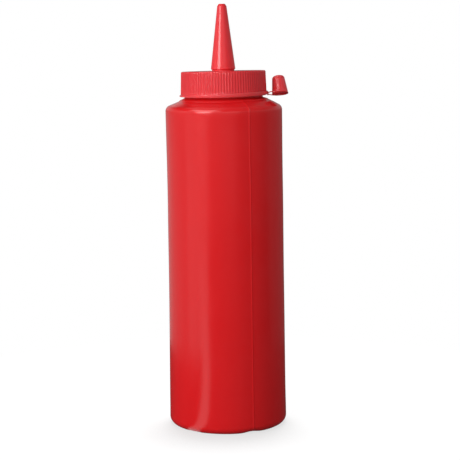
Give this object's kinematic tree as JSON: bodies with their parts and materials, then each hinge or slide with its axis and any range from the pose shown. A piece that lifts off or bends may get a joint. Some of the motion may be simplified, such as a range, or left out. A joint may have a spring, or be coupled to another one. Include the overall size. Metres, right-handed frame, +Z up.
{
  "type": "squeeze bottle",
  "caption": "Round squeeze bottle for sauce with a ribbed screw closure, a tall conical spout, and a tip cap held beside it by a strap.",
  "frame": {"origin": "centre of the foot, on the surface the bottle stands on", "axes": "+Z up the bottle's axis, +X towards the tip cap, -Y the front"},
  "size_m": [0.0582, 0.056, 0.1991],
  "materials": {
    "bottle_plastic": "satin",
    "closure_plastic": "satin"
  },
  "bodies": {
    "root": {"bottle": "bottle_plastic", "closure": "closure_plastic", "tether": "closure_plastic"}
  },
  "joints": []
}
